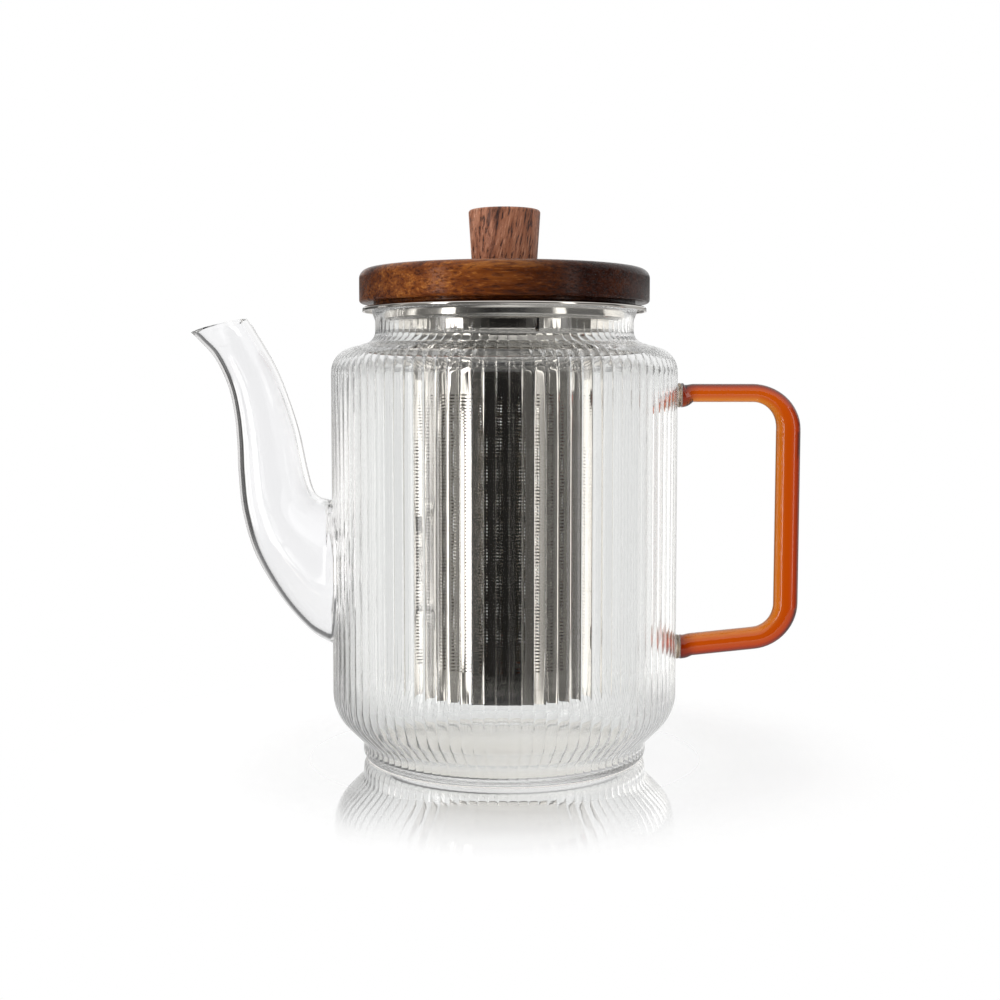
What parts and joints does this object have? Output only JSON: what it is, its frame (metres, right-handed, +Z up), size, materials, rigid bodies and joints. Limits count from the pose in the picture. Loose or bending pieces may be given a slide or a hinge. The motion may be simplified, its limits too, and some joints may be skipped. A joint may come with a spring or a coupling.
{
  "type": "glass teapot",
  "caption": "Ribbed clear glass teapot with an S-shaped spout, an amber rod handle, a lift-out perforated steel infuser and a turned wooden lid.",
  "frame": {"origin": "on the pot's axis, at the flat underside that it stands on", "axes": "+Z up along the pot's axis, +X towards the handle, -X towards the spout"},
  "size_m": [0.1943, 0.11, 0.1745],
  "materials": {
    "clear_glass": "clear, fire-polished",
    "amber_glass": "transparent amber, fire-polished",
    "polished_steel": "mirror-polished stainless steel",
    "lid_wood": "dark walnut, satin lacquer",
    "knob_wood": "walnut, oiled",
    "seal_silicone": "matt silicone",
    "screw_steel": "plain steel"
  },
  "bodies": {
    "pot": {"glass_body": "clear_glass", "spout": "clear_glass", "handle": "amber_glass", "handle_pad_upper": "clear_glass", "handle_pad_lower": "clear_glass"},
    "infuser": {"infuser_rim": "polished_steel", "infuser_collar": "polished_steel", "infuser_sleeve": "polished_steel", "infuser_base": "polished_steel"},
    "lid": {"lid_disc": "lid_wood", "lid_seal_ring": "seal_silicone", "lid_knob": "knob_wood", "knob_screw": "screw_steel"}
  },
  "joints": [
    {"name": "infuser_lift", "type": "slide", "parent": "pot", "child": "infuser", "axis": [0, 0, 1], "range_m": [0, 0.13]},
    {"name": "lid_lift", "type": "slide", "parent": "infuser", "child": "lid", "axis": [0, 0, 1], "range_m": [0, 0.06]}
  ]
}
